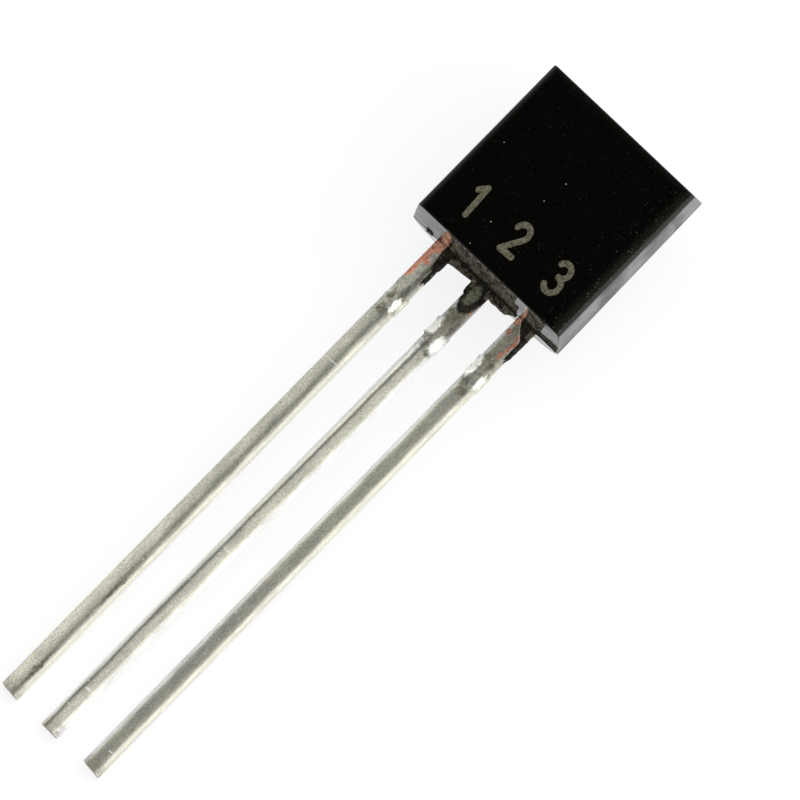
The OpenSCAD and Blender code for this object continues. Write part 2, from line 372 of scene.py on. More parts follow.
def moulded_case():
    """The drafted body: a half-round back and a flat front, with every moulded edge rounded."""
    case = new_rod("case_body", BACK_R, CASE_H, (CASE_H / 2, 0, 0), (0, pi / 2, 0), sides=192)
    slice_at(case, (0, 0, 0), (0, 0, 1), keep_all=False)
    for end, out in ((0, -1), (CASE_H, 1)):
        slice_at(case, (end, 0, 0), (out * cos(BACK_DRAFT), 0, -sin(BACK_DRAFT)), keep_all=False)
    pick(case, "FACE", lambda face: face.normal.z > 0.99)
    bpy.ops.mesh.extrude_region_move(TRANSFORM_OT_translate={"value": (0, 0, FLAT_DEPTH)})
    flat_share = (1 - 2 * FLAT_DEPTH * tan(FRONT_DRAFT) / CASE_H, FLAT_EDGE / BACK_R, 1)
    bpy.ops.transform.resize(value=flat_share, center_override=(CASE_H / 2, 0, FLAT_DEPTH))
    finish_edit()

    def upright(edge):
        a, b = (v.co for v in edge.verts)
        return min(a.z, b.z) > FLAT_DEPTH - 1e-4 and near(a.y, b.y)

    def round_end(edge):
        a, b = (v.co for v in edge.verts)
        at_end = min(a.x, b.x) > CASE_H * 0.9 or max(a.x, b.x) < CASE_H * 0.1
        return min(a.z, b.z) > FLAT_DEPTH - SIDE_EDGE_R * 1.2 and at_end and abs(a.x - b.x) < 0.02

    round_edges(case, upright, SIDE_EDGE_R * tan(pi / 4 - SIDE_DRAFT / 2), 10)
    round_edges(case, round_end, END_EDGE_R * tan(pi / 4 - FRONT_DRAFT / 2))
    soften(case, RIM_EDGE, angle=40, segments=3)

    def top_right(vert):
        return vert.co.x > CASE_H / 2 and vert.co.y < 0 and (vert.co.z > FLAT_DEPTH / 2) == by_flat

    for by_flat, drawn_in in ((False, DRAWN_IN), (True, DRAWN_IN_FLAT)):
        pick(case, "VERT", top_right)
        bpy.ops.transform.resize(value=(1, 1 - 2 * drawn_in / CASE_W, 1), center_override=(0, 0, 0))
        finish_edit()
    return case


# ---- Leads ----

def rounded_bar(name, x_low, x_high, y, stations):
    """A bar with rolled long edges, with a ring of edges at each station."""
    bar = new_block(name, (x_low, y - LEAD_W / 2, -LEAD_T), (x_high, y + LEAD_W / 2, 0))
    round_edges(bar, lambda edge: abs(edge.verts[0].co.x - edge.verts[1].co.x) > 1, LEAD_EDGE_R)
    for part in (-1, 0, 1):
        slice_at(bar, (0, y + part * LEAD_W / 6, 0), (0, 1, 0))
    for x in stations:
        slice_at(bar, (x, 0, 0), (1, 0, 0))
    return bar


def corner_depth(turn):
    """How far a turned section's middle lies in front of its lowest corner."""
    half_w = LEAD_W / 2 - LEAD_EDGE_R
    half_t = LEAD_T / 2 - LEAD_EDGE_R
    return half_w * abs(sin(turn)) + half_t * cos(turn) + LEAD_EDGE_R


def turn_lead(bar, y, turn, stations):
    """Turns the lead step by step below its dam bar, and keeps its lowest corner on the back plane.
    With no window open, transform.rotate turns the other way, so the step is negative."""
    step = turn / len(stations)
    done = 0.0
    for x in stations:
        middle = corner_depth(done) - LEAD_T
        pick(bar, "VERT", lambda vert: vert.co.x < x + 1e-3)
        bpy.ops.transform.rotate(value=-step, orient_axis="X", center_override=(0, y, middle))
        done += step
        bpy.ops.transform.translate(value=(0, 0, corner_depth(done) - LEAD_T - middle))
        finish_edit()


def dam_stub(name, side):
    """What the trimming left of the dam bar on one side, side 1 being the left."""
    y = LEAD_Y[name]
    middle = -DAM_X + side * DAM_SKEW / 2
    inner = y + side * (LEAD_W / 2 - LEAD_EDGE_R)
    outer = y + side * (LEAD_W / 2 + DAM_STUB[name][side > 0])
    stub = new_block("dam_stub", (middle - DAM_H / 2, inner, STUB_IN - LEAD_T),
                     (middle + DAM_H / 2, outer, -STUB_IN))
    pick(stub, "VERT", lambda vert: near(vert.co.y, outer))
    bpy.ops.transform.resize(value=(DAM_CREST_H / DAM_H, 1, 1), center_override=(middle, outer, 0))
    finish_edit()
    return stub


def punch(name, side):
    """The round nose of the trimming punch, where it dug into the front edge of a stub."""
    radius = (PUNCH_L ** 2 / 4 + PUNCH_D ** 2) / (2 * PUNCH_D)
    out = (radius - PUNCH_D) * sqrt(0.5)
    edge = LEAD_W / 2 + DAM_STUB[name][side > 0]
    middle = (-DAM_X + side * DAM_SKEW / 2, LEAD_Y[name] + side * (edge + out), out)
    return new_rod("punch", radius, 2 * LEAD_W, middle, (side * pi / 4, 0, 0))


def frame_plate(name, x, height, y_from, y_to):
    """A plate of the lead frame with rounded corners."""
    plate = new_block(name, (x, y_from, -LEAD_T), (x + height, y_to, 0))
    round_edges(plate, lambda edge: abs(edge.verts[0].co.z - edge.verts[1].co.z) > 0.1, PLATE_CORNER_R)
    return plate


def inner_end(name):
    """The plate that a lead ends in inside the case, with the stem that carries it."""
    y = LEAD_Y[name]
    if name == "collector_lead":
        plate = frame_plate("die_paddle", PADDLE_X, PADDLE_H, -PADDLE_W / 2, PADDLE_W / 2)
        notch_x = PADDLE_X + PADDLE_H - NOTCH_DOWN
        for side in (-1, 1):
            carve(plate, new_rod("notch", NOTCH_R, 1, (notch_x, side * PADDLE_W / 2, 0), (0, 0, 0), 32),
                  "DIFFERENCE")
        reach = PADDLE_X + PADDLE_H / 2
    else:
        away = 1 if y > 0 else -1
        plate = frame_plate("bond_post", POST_X, POST_H, y - away * (LEAD_W / 2 + POST_IN),
                            y + away * (LEAD_W / 2 + POST_OUT))
        reach = POST_X + POST_H / 2
    stem = new_block("stem", (INSIDE_L, y - LEAD_W / 2, -LEAD_T), (reach, y + LEAD_W / 2, 0))
    carve(plate, stem, "UNION")
    return plate


def stamped_lead(name):
    """One lead in one stamping, from its cut tip to its plate inside the case."""
    y = LEAD_Y[name]
    turn = radians(LEAD_TURN[name])
    turn_at = [-DAM_END - TURN_L * (i + 0.5) / TURN_STEPS for i in range(TURN_STEPS)]
    straight = LEAD_L - DAM_END - TURN_L
    rings = int(straight / RING_GAP)
    straight_at = [-LEAD_L + straight * i / rings for i in range(1, rings)]
    lead = rounded_bar(name + "_strip", -LEAD_L - OVER, INSIDE_L, y, turn_at + straight_at)
    turn_lead(lead, y, turn, turn_at)
    slant = radians(TIP_SLANT[name])
    slice_at(lead, (-LEAD_L, y - LEAD_W / 2, 0), (-cos(slant), sin(slant), 0), keep_all=False)
    for shape, operation in ((dam_stub, "UNION"), (punch, "DIFFERENCE")):
        for side in (-1, 1):
            carve(lead, shape(name, side), operation)
    carve(lead, inner_end(name), "UNION")
    soften(lead, STAMPED_EDGE, angle=40)
    return lead


# ---- Broken resin ----

def resin_ridge(y_from, y_to, drops):
    """Resin broken off between two leads; its lower edge follows the drops from y_from to y_to."""
    ridge = new_block("ridge", (-drops[0], y_from, -LEAD_T), (OVER, y_to, 0))
    at = [y_from + (y_to - y_from) * i / (len(drops) - 1) for i in range(len(drops))]
    for y in at[1:-1]:
        slice_at(ridge, (0, y, 0), (0, 1, 0))
    for y, drop in zip(at, drops):
        move_points(ridge, lambda vert: vert.co.x < 0 and near(vert.co.y, y), (drops[0] - drop, 0, 0))
    return ridge


def resin_fin(lead_name, side, length, out, lap, deep):
    """Resin along one side of a lead, lapping over its front face as a thin skin."""
    y = LEAD_Y[lead_name]
    inner = y + side * (LEAD_W / 2 - lap)
    outer = y + side * (LEAD_W / 2 + out)
    end = y + side * (LEAD_W / 2 - SKIN_IN)
    shoulder = -FIN_SHOULDER * length
    fin = new_block("fin", (-length, inner, -deep), (OVER, outer, SKIN_T))
    slice_at(fin, (shoulder, 0, 0), (1, 0, 0))
    for x, reach in ((-length, end - outer), (shoulder, side * out * (FIN_TAPER - 1))):
        move_points(fin, lambda vert: near(vert.co.x, x) and near(vert.co.y, outer), (0, reach, 0))
    move_points(fin, lambda vert: near(vert.co.x, -length) and near(vert.co.y, inner),
                (length + shoulder, 0, 0))
    return fin


def scar(left, right, low, high):
    """A thin slab on the foot, leaning back with it, where resin broke off."""
    slab = new_block("scar", (-SCAR_T, right, low), (2 * SCAR_T, left, high))
    lean = (high * tan(FRONT_DRAFT), -high * SCAR_LEAN, 0)
    move_points(slab, lambda vert: near(vert.co.z, high), lean)
    return slab


def broken_resin(leads, case):
    """All the resin that broke off the foot, as one rough piece that fits round the leads."""
    edge = LEAD_W / 2 - SKIN_IN
    left, middle, right = (LEAD_Y[name] for name in LEADS)
    parts = [resin_ridge(left - edge, middle + edge, FLASH_LEFT),
             resin_ridge(middle - edge, right + edge + FLASH_GAP, FLASH_RIGHT)]
    for fin in FINS:
        parts.append(resin_fin(*fin))
    for place in SCARS:
        parts.append(scar(*place))
    resin = join(parts, "broken_resin")
    fuse_and_roughen(resin, RESIN_GRAIN)
    ripple(resin, size=0.13, height=0.026, name="resin_lumps")
    ripple(resin, size=0.05, height=0.008, name="resin_crumbs")
    for other in (*leads, case):
        carve(resin, copy_of(other), "DIFFERENCE")
    return drop_crumbs(resin)


# ---- Cavities ----

def sealed_piece(name):
    """A copy of one of the sealed pieces, closed up and stood upright, to cut its cavity with."""
    piece = copy_of(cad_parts[name])
    piece.parent = None
    put(piece, LAID_DOWN.inverted())
    close_seams(piece, 1e-4)
    for mark in list(piece.keys()):
        if mark.startswith("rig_"):
            del piece[mark]
    return piece


def seal_in(case, leads):
    """Leaves the case hollow just where the leads, the chip and the wires fill it."""
    for lead in leads:
        carve(case, copy_of(lead), "DIFFERENCE")
    for name in ("silicon_die", "die_attach", "emitter_wire", "base_wire"):
        carve(case, sealed_piece(name), "DIFFERENCE")


# ---- Pin numbers ----

def ink_bar(start, end):
    """A straight stroke of ink between two points, with square ends."""
    start, end = Vector(start), Vector(end)
    along = end - start
    half = NUMBER_STROKE / 2
    bar = new_block("ink_bar", (0, -half, -INK_SUNK), (along.length, half, INK_T))
    put(bar, turned((*start, 0), atan2(along.y, along.x)))
    return bar


def ink_bend(centre, radius, start, turn):
    """A bent stroke of ink round a centre; start and turn are in degrees, anticlockwise."""
    half = NUMBER_STROKE / 2
    bend = new_block("ink_bend", (radius - half, -0.001, -INK_SUNK), (radius + half, 0, INK_T))
    pick(bend, "FACE", lambda face: face.normal.y > 0.9)
    bpy.ops.mesh.spin(steps=40, angle=-radians(turn), center=(0, 0, 0), axis=(0, 0, 1))
    finish_edit()
    close_seams(bend, 1e-5)
    face_outwards(bend)
    put(bend, turned((*centre, 0), radians(start)))
    return bend


def ink_dot(at):
    """The round end of a stroke."""
    middle = (*at, (INK_T - INK_SUNK) / 2)
    return new_rod("ink_dot", NUMBER_STROKE / 2, INK_T + INK_SUNK, middle, (0, 0, 0), 48)


def on_bend(centre, radius, angle):
    """The point of a circle at an angle in degrees."""
    return centre[0] + radius * cos(radians(angle)), centre[1] + radius * sin(radians(angle))


def pin_number(number):
    """The number's strokes run together, its foot at zero and its middle line at zero."""
    low = NUMBER_STROKE / 2
    high = NUMBER_H - low
    if number == 1:
        corner, foot, flag = (0.03, high), (0.03, low), (-0.14, high - 0.16)
        strokes = [ink_bar(flag, corner), ink_bar(foot, corner)]
        ends = (flag, corner, foot)
    elif number == 2:
        bow = 0.19
        centre = (0, high - bow)
        start, leave = on_bend(centre, bow, 170), on_bend(centre, bow, -35)
        left, right = (-0.19, low), (0.2, low)
        strokes = [ink_bend(centre, bow, -35, 205), ink_bar(leave, left), ink_bar(left, right)]
        ends = (start, leave, left, right)
    else:
        share = 0.47
        upper = (high - low) * share / 2
        lower = (high - low) * (1 - share) / 2
        over, under = (0, high - upper), (0, low + lower)
        strokes = [ink_bend(over, upper, -90, 240), ink_bend(under, lower, -150, 240)]
        ends = (on_bend(over, upper, 150), on_bend(over, upper, -90), on_bend(under, lower, -150))
    whole = strokes[0]
    for stroke in strokes[1:] + [ink_dot(end) for end in ends]:
        carve(whole, stroke, "UNION")
    return whole


def pin_numbers():
    """The numbers 1, 2 and 3 in thin ink on the flat face, each above its lead."""
    marks = []
    for number, lead_name in enumerate(LEADS, 1):
        mark = pin_number(number)
        put(mark, turned((NUMBER_FOOT, LEAD_Y[lead_name], FLAT_DEPTH), NUMBER_SLOPE - pi / 2)
            @ Matrix.Diagonal((NUMBER_NARROW, 1, 1, 1)))
        marks.append(mark)
    numbers = join(marks, "pin_numbers")
    soften(numbers, INK_T / 2, angle=50)
    return numbers


# ---- Camera ----

def set_camera():
    """Looks down on the device lying on the floor, turned so that the leads run to the lower left."""
    target = (1.2426 * MM, -0.5067 * MM, FOOT_PLACE.z)
    azimuth, elevation, roll = radians(-58.034), radians(74.228), radians(12.563)
    deselect_all()
    bpy.ops.object.camera_add()
    camera = bpy.context.object
    camera.matrix_world = (turned(target, azimuth) @ Matrix.Rotation(pi / 2 - elevation, 4, "X")
                           @ turned((0, 0, CAMERA_FAR), roll))
    camera.data.lens = camera.data.sensor_width * POINTS_PER_MM * CAMERA_FAR / MM / FRAME_POINTS
    camera.data.clip_start = 0.01
    camera.data.clip_end = 10
    bpy.context.scene.camera = camera


# ---- Finishes ----

def seen(red, green, blue):
    """A colour as it looks on a screen, 0 to 255 each, in the light values that the nodes work in."""
    shares = (value / 255 for value in (red, green, blue))
    return (*(v / 12.92 if v <= 0.04045 else ((v + 0.055) / 1.055) ** 2.4 for v in shares), 1)


class Amount:
    """A number that nodes work out. Arithmetic on it adds the nodes that do it."""

    def __init__(self, nodes, socket):
        self.nodes = nodes
        self.socket = socket

    def __add__(self, other):
        return self.nodes.maths("ADD", self, other)

    def __sub__(self, other):
        return self.nodes.maths("SUBTRACT", self, other)

    def __rsub__(self, other):
        return self.nodes.maths("SUBTRACT", other, self)

    def __mul__(self, other):
        return self.nodes.maths("MULTIPLY", self, other)

    def __abs__(self):
        return self.nodes.maths("ABSOLUTE", self)

    def spread(self, low, high, first=0.0, last=1.0):
        """Turns low..high softly into first..last."""
        ends = {"Value": self, "From Min": low, "From Max": high, "To Min": first, "To Max": last}
        return self.nodes.amount("ShaderNodeMapRange", "Result", ends, interpolation_type="SMOOTHSTEP")


class Nodes:
    """Adds nodes to a material or to the world."""

    def __init__(self, owner):
        owner.use_nodes = True
        self.tree = owner.node_tree

    def feed(self, socket, value):
        if isinstance(value, Amount):
            value = value.socket
        if isinstance(value, bpy.types.NodeSocket):
            self.tree.links.new(value, socket)
        else:
            socket.default_value = value

    def add(self, kind, inputs=None, **settings):
        node = self.tree.nodes.new(kind)
        for setting, value in settings.items():
            setattr(node, setting, value)
        for socket, value in (inputs or {}).items():
            self.feed(node.inputs[socket], value)
        return node

    def amount(self, kind, output, inputs, **settings):
        return Amount(self, self.add(kind, inputs, **settings).outputs[output])

    def maths(self, operation, first, second=0.0):
        return self.amount("ShaderNodeMath", 0, {0: first, 1: second}, operation=operation)

    def most(self, first, *others):
        """The largest of the values."""
        for other in others:
            first = self.maths("MAXIMUM", first, other)
        return first

    def axes(self, vector):
        """The vector's three parts."""
        parts = self.add("ShaderNodeSeparateXYZ", {"Vector": vector}).outputs
        return [Amount(self, part) for part in parts]

    def show(self, output, share, first, second):
        """Sends two shaders to the output, mixed so that the second has the share."""
        mix = self.add("ShaderNodeMixShader", {0: share, 1: first, 2: second})
        self.feed(self.tree.nodes[output].inputs["Surface"], mix.outputs[0])


class Finish(Nodes):
    """A material built up from nodes. Its places and sizes are millimetres of the upright device."""

    def __init__(self, name, metallic=0, specular=0.5):
        self.material = bpy.data.materials.new(name)
        self.colour = WHITE
        super().__init__(self.material)
        self.shader = self.tree.nodes["Principled BSDF"].inputs
        self.shader["Metallic"].default_value = metallic
        self.shader["Specular IOR Level"].default_value = specular
        where = self.add("ShaderNodeTexCoord").outputs["Object"]
        upright = {"Vector": where, "Location": FOOT_PLACE, "Rotation": (0, -REST_TILT, 0),
                   "Scale": (MM, MM, MM)}
        self.place = self.add("ShaderNodeMapping", upright, vector_type="TEXTURE").outputs["Vector"]
        self.x, self.y, self.z = self.axes(self.place)

    def vector(self, operation, first, second, socket=1):
        return self.add("ShaderNodeVectorMath", {0: first, socket: second},
                        operation=operation).outputs["Vector"]

    def shades(self, value, stops):
        """Blends the tones of the stops, each a value and a tone, lowest value first."""
        first, last = stops[0][0], stops[-1][0]
        share = self.add("ShaderNodeMapRange", {"Value": value, "From Min": first, "From Max": last})
        ramp = self.add("ShaderNodeValToRGB", {"Fac": share.outputs["Result"]})
        tones = ramp.color_ramp.elements
        tones[0].color = stops[0][1]
        tones[1].color = stops[-1][1]
        for at, tone in stops[1:-1]:
            tones.new((at - first) / (last - first)).color = tone
        return ramp.outputs["Color"]

    def strengthen(self, factor):
        """Makes the colour lighter or darker by a factor, but never lighter than white."""
        scaled = self.vector("SCALE", self.colour, factor, "Scale")
        self.colour = self.vector("MINIMUM", scaled, (1, 1, 1))

    def stretched(self, size, stretch, shift=(0, 0, 0)):
        """The place in steps of size, longer along an axis whose stretch is above 1."""
        scale = tuple(1 / (size * along) for along in stretch)
        steps = {"Vector": self.place, "Location": shift, "Scale": scale}
        return self.add("ShaderNodeMapping", steps).outputs["Vector"]

    def noise(self, place, scale, detail):
        grain = {"Vector": place, "Scale": scale, "Detail": detail, "Roughness": 0.6}
        return self.add("ShaderNodeTexNoise", grain).outputs

    def clouds(self, size, detail=3.0, stretch=(1, 1, 1), shift=(0, 0, 0)):
        """Soft random clouds of about that size."""
        return Amount(self, self.noise(self.stretched(size, stretch, shift), 1.0, detail)["Fac"])

    def specks(self, gap, radius, share, stretch=(1, 1, 1)):
        """1 on small round specks about gap apart, in that share of the places."""
        places = {"Vector": self.stretched(gap, stretch), "Scale": 1.0}
        cells = self.add("ShaderNodeTexVoronoi", places).outputs
        chance = self.add("ShaderNodeSeparateColor", {"Color": cells["Color"]}).outputs["Red"]
        dot = Amount(self, cells["Distance"]).spread(radius / gap, radius / gap * 0.4)
        return dot * self.maths("LESS_THAN", chance, share)

    def ragged_place(self, size, amount):
        """The place pushed about by clouds, so that a patch gets an uneven edge."""
        push = self.noise(self.place, 1 / size, 3.0)["Color"]
        push = self.vector("SUBTRACT", push, (0.5, 0.5, 0.5))
        return self.vector("ADD", self.place, self.vector("SCALE", push, amount, "Scale"))

    def patches(self, place, ovals, soft=0.15):
        """1 inside any of the ovals, each a middle and a reach along x, y and z; 0 outside."""
        found = 0.0
        for middle, reach in ovals:
            away = self.vector("DIVIDE", self.vector("SUBTRACT", place, middle), reach)
            away = self.amount("ShaderNodeVectorMath", "Value", {0: away}, operation="LENGTH")
            found = self.most(away.spread(1 + soft, 1 - soft), found)
        return found

    def blend(self, share, first, second):
        """The first colour where the share is 0, the second where it is 1."""
        colours = {"Factor": share, "A": first, "B": second}
        return self.add("ShaderNodeMix", colours, data_type="RGBA").outputs["Result"]

    def mottled(self, grain, low, high, first, second):
        """Two tones mixed by the grain, the first where it is low."""
        return self.blend(grain.spread(low, high), seen(*first), seen(*second))

    def lay(self, share, tone):
        """Lays a tone over the colour as far as the share says."""
        self.colour = self.blend(share, self.colour, tone)

    def finish(self, roughness, height, depth):
        """Joins the colour, the roughness and the surface's fine relief, depth in millimetres, to it."""
        relief = self.add("ShaderNodeBump", {"Height": height, "Distance": depth * MM})
        self.feed(self.shader["Base Color"], self.colour)
        self.feed(self.shader["Roughness"], roughness)
        self.feed(self.shader["Normal"], relief.outputs["Normal"])
        return self.material


# Painted reflections of the copper of two of the leads in the glossy foot above them: middle and reach
# along x, y and z.
COPPER_REFLECTIONS = (((0.1, 1.28, 0.4), (0.3, 0.1, 0.42)), ((0.1, 1.25, 0.8), (0.3, 0.1, 0.38)),
                 ((0.1, -1.15, 0.36), (0.3, 0.045, 0.34)), ((0.1, -1.2, 0.75), (0.3, 0.05, 0.36)))
# Duller places on the right wall of the case, in the same way.
DULL_PLACES = (((3.97, -2.2, 0.6), (0.2, 0.3, 0.7)), ((3.28, -2.2, 0.75), (0.4, 0.3, 0.6)),
               ((1.85, -2.2, 0.6), (0.45, 0.3, 0.8)))
# A dark patch beside the scar on the left of the foot.
DARK_PATCH_BY_SCAR = (((0.1, 1.75, -0.03), (0.3, 0.15, 0.26)), )
BESIDE_LEADS = 1.05  # how far from the middle line the resin beside the outer leads is darkest


def moulded_epoxy():
    """Near-black epoxy: glossy, with a dusty haze round the flat, a dark line along the parting line and
    painted reflections of the leads' copper on the foot.
    """
    made = Finish("moulded_epoxy", specular=0.4)
    on_flat = made.z.spread(FLAT_DEPTH - 0.12, FLAT_DEPTH - 0.03)
    haze = made.most(made.y.spread(FLAT_EDGE - 0.2, FLAT_EDGE, 0.0, 0.5),
                     made.y.spread(0.36 - FLAT_EDGE, 0.04 - FLAT_EDGE, 0.0, 0.7),
                     made.x.spread(CASE_H - 0.36, CASE_H - 0.14, 0.0, 0.25))
    haze = haze * made.clouds(0.06, 4).spread(0.3, 0.65, 0.35, 1.0) * on_flat
    made.colour = made.mottled(made.clouds(0.05, 4), 0.4, 0.75, (3, 3, 2), (9, 9, 8))
    made.lay(haze, seen(42, 39, 33))
    faint = made.specks(0.09, 0.011, 0.3)
    made.lay(faint * 0.8, seen(62, 60, 54))
    made.lay(made.specks(0.3, 0.018, 0.3), seen(168, 162, 146))
    near_right = made.y.spread(0.75 - FLAT_EDGE, 0.1 - FLAT_EDGE)
    made.lay(made.specks(0.1, 0.018, 0.6) * near_right, seen(94, 90, 80))
    # Painted reflection: the bare copper of the outer leads mirrored in the foot, in copper tones.
    copper_reflection = made.patches(made.ragged_place(0.12, 0.14), COPPER_REFLECTIONS, soft=0.35)
    reflected_copper = made.mottled(made.clouds(0.16), 0.4, 0.6, (168, 124, 98), (244, 200, 162))
    made.lay(copper_reflection * 0.85, reflected_copper)

    on_foot = made.x.spread(0.3, 0.12)
    # A dark line along the parting line, wider on the foot, and the dark patch beside the scar.
    line = abs(made.z).spread(made.x.spread(0.3, 0.12, 0.03, 0.08), made.x.spread(0.3, 0.12, 0.012, 0.042))
    line = line * made.clouds(0.5).spread(0.35, 0.6, 0.3, 1.0)
    dark_patch = made.patches(made.ragged_place(0.1, 0.1), DARK_PATCH_BY_SCAR, soft=0.6)
    line = made.most(line, dark_patch * 0.9)
    made.lay(line, seen(20, 18, 12))

    rough = made.clouds(0.9, shift=(3, 1, 2)).spread(0.36, 0.64, 0.17, 0.3)
    rough = rough + made.patches(made.ragged_place(0.5, 0.5), DULL_PLACES, soft=0.45) * 0.13
    flat_rough = made.y.spread(FLAT_EDGE - 0.12, FLAT_EDGE - 0.03, 0.2, 0.5)
    rough = rough * (1 - on_flat) + flat_rough * on_flat
    behind = made.z.spread(0.0, -0.15, 0.0, 0.12) * (1 - on_foot) - on_foot * 0.03
    rough = rough + (behind + line * 0.4)
    return made.finish(rough, made.clouds(0.035, 2) * 0.3 + faint, 0.003)


def snapped_resin():
    """The dark brown crumbly resin that broke off between and beside the leads."""
    made = Finish("snapped_resin", specular=0.05)
    mottle = made.clouds(0.22, stretch=(1, 1, 1.9)) * 0.6 + made.clouds(0.08, stretch=(1, 1, 1.6)) * 0.4
    made.colour = made.mottled(mottle, 0.42, 0.6, (32, 29, 22), (104, 99, 84))
    near_flat = made.z.spread(FLAT_DEPTH - 0.45, FLAT_DEPTH - 0.15, 0.45, 0.85)
    pale = made.clouds(0.07, stretch=(1, 1, 1.3), shift=(4, 2, 7)).spread(0.55, 0.64)
    made.lay(pale * near_flat, seen(152, 148, 132))
    chipped = (made.z.spread(FLAT_DEPTH - 0.2, FLAT_DEPTH - 0.12)
               * made.clouds(0.11, shift=(2, 5, 1)).spread(0.53, 0.6))
    made.lay(chipped * 0.8, seen(142, 138, 132))
    made.lay(made.specks(0.13, 0.018, 0.22, stretch=(1, 1, 2)), seen(150, 138, 110))
    # Painted shade: the resin darker in the corner where it meets the foot of the case.
    corner = abs(made.x).spread(0.05, 0.02) * made.z.spread(0.3, 0.16)
    made.lay(corner * 0.75, seen(16, 14, 10))
    beside = abs(abs(made.y) - BESIDE_LEADS).spread(0.12, 0.06)
    dark = made.most(made.x.spread(-0.2, -0.3), beside * made.x.spread(0.0, -0.05))
    made.lay(dark * 0.85, seen(20, 18, 14))
    rough = made.clouds(0.05).spread(0.3, 0.7, 0.65, 0.9)
    return made.finish(rough, made.clouds(0.03), 0.006)


TIN_METALLIC = 0.35
# Tones across each lead, from its right side to its left: (distance from its middle line, brightness). The
# bright strips at its sides are painted reflections of the floor, and the darker lines beside them are
# painted dark reflections on its rounded edges.
TONES_AND_REFLECTIONS_ACROSS = by_lead(
    ((-0.24, 236), (-0.2, 240), (-0.16, 222), (-0.13, 190), (-0.1, 156), (-0.06, 142), (-0.03, 152),
     (0.0, 170), (0.04, 186), (0.08, 195), (0.15, 203), (0.22, 214)),
    ((-0.24, 252), (-0.2, 248), (-0.17, 234), (-0.14, 206), (-0.11, 196), (-0.02, 188), (0.025, 172),
     (0.05, 134), (0.068, 118), (0.084, 134), (0.104, 204), (0.134, 246), (0.26, 255)),
    ((-0.24, 222), (-0.2, 236), (-0.17, 238), (-0.145, 206), (-0.115, 166), (-0.06, 158), (0.06, 156),
     (0.1, 166), (0.13, 184), (0.158, 220), (0.185, 250), (0.25, 255)))
# The darker band of each lead, between its painted reflection strips, where the tin's grain shows most:
# (its right side, its left side).
GRAINY = by_lead((-0.12, 0.3), (-0.13, 0.1), (-0.12, 0.15))
PATTERN_DRIFT = by_lead(-0.002, 0.006, 0.0)  # how far the tones across drift, per mm along
ROOT_SHIFT = by_lead(0.08, 0.0, 0.0)  # how far they shift near the case
FAR_TONE = by_lead(1.18, 1.0, 0.88)  # how bright the far end is beside the rest
ROOT_BARE = by_lead(0.0, 0.85, 0.6)  # share of plain tin between the dam and the case
COPPER_DULLED = by_lead(0.15, 0.0, 0.6)  # share of dull red in the copper away from the case
# Marks on the front of each lead: ovals as (x, y from the lead's middle, half length, half width).
COPPER = by_lead(
    ((-0.06, 0.08, 0.2, 0.18), (-0.34, 0.17, 0.3, 0.1), (-0.53, 0.06, 0.07, 0.07),
     (-0.6, 0.18, 0.12, 0.06), (-0.88, 0.18, 0.2, 0.07)),
    ((-0.7, -0.2, 0.08, 0.02), ),
    ((-0.06, 0.17, 0.15, 0.07), (-0.39, 0.14, 0.08, 0.05), (-0.34, -0.1, 0.09, 0.03),
     (-0.52, -0.15, 0.11, 0.035), (-0.72, -0.13, 0.1, 0.04), (-0.93, -0.09, 0.1, 0.05)))
STAINS = by_lead(
    ((-0.8, -0.12, 0.4, 0.06), (-1.36, -0.1, 0.24, 0.06), (-1.62, 0.1, 0.14, 0.08),
     (-2.0, 0.04, 0.14, 0.1), (-10.75, -0.11, 0.42, 0.04), (-13.1, -0.1, 0.5, 0.05)),
    ((-0.98, 0.03, 0.22, 0.22), (-1.22, -0.18, 0.26, 0.06), (-1.73, 0.18, 0.12, 0.12),
     (-1.88, 0.04, 0.12, 0.1), (-2.04, -0.15, 0.09, 0.08)),
    ((-1.14, 0.08, 0.08, 0.1), (-1.24, -0.1, 0.1, 0.07), (-1.88, 0.09, 0.13, 0.1),
     (-2.1, -0.03, 0.1, 0.1)))
# Painted highlights in the hollows that the trimming punch left, as ovals in the same way.
DENT_HIGHLIGHTS = by_lead(
    ((-1.74, -0.14, 0.22, 0.07), ),
    ((-1.47, 0.2, 0.19, 0.12), (-1.74, -0.17, 0.24, 0.11)),
    ((-1.5, 0.2, 0.27, 0.1), (-1.7, -0.19, 0.22, 0.06)))
SCRATCHES = by_lead(
    ((-3.62, 0.0, 0.012, 0.14), (-4.1, 0.17, 0.03, 0.012), (-7.3, -0.2, 0.06, 0.012)),
    ((-12.74, 0.005, 0.018, 0.09), (-5.98, -0.14, 0.05, 0.014), (-8.34, -0.03, 0.01, 0.12)),
    ((-3.5, -0.21, 0.12, 0.012), (-13.4, -0.08, 0.012, 0.07), (-9.2, 0.12, 0.03, 0.012)))
# The edge of the resin left on the front of an outer lead: (x of its low end, x of its high end,
# y from the lead's middle at each).
RESIN_EDGE = by_lead((-0.7, -0.05, -0.11, -0.05), None, (-0.52, 0.0, -0.22, 0.1))
RESIN_END = by_lead(-0.6, None, -1.0)  # x where that resin ends
FILM_HIGHLIGHT_END = by_lead(-0.16, None, -0.5)  # x where the painted highlight beside it ends


def tin_tone(brightness):
    """Tin of that brightness, slightly olive, but white where it is brightest."""
    olive = min(1.0, (255 - brightness) / 18) * 0.072 + 0.008
    return seen(brightness, 0.995 * brightness, (1 - olive) * brightness)


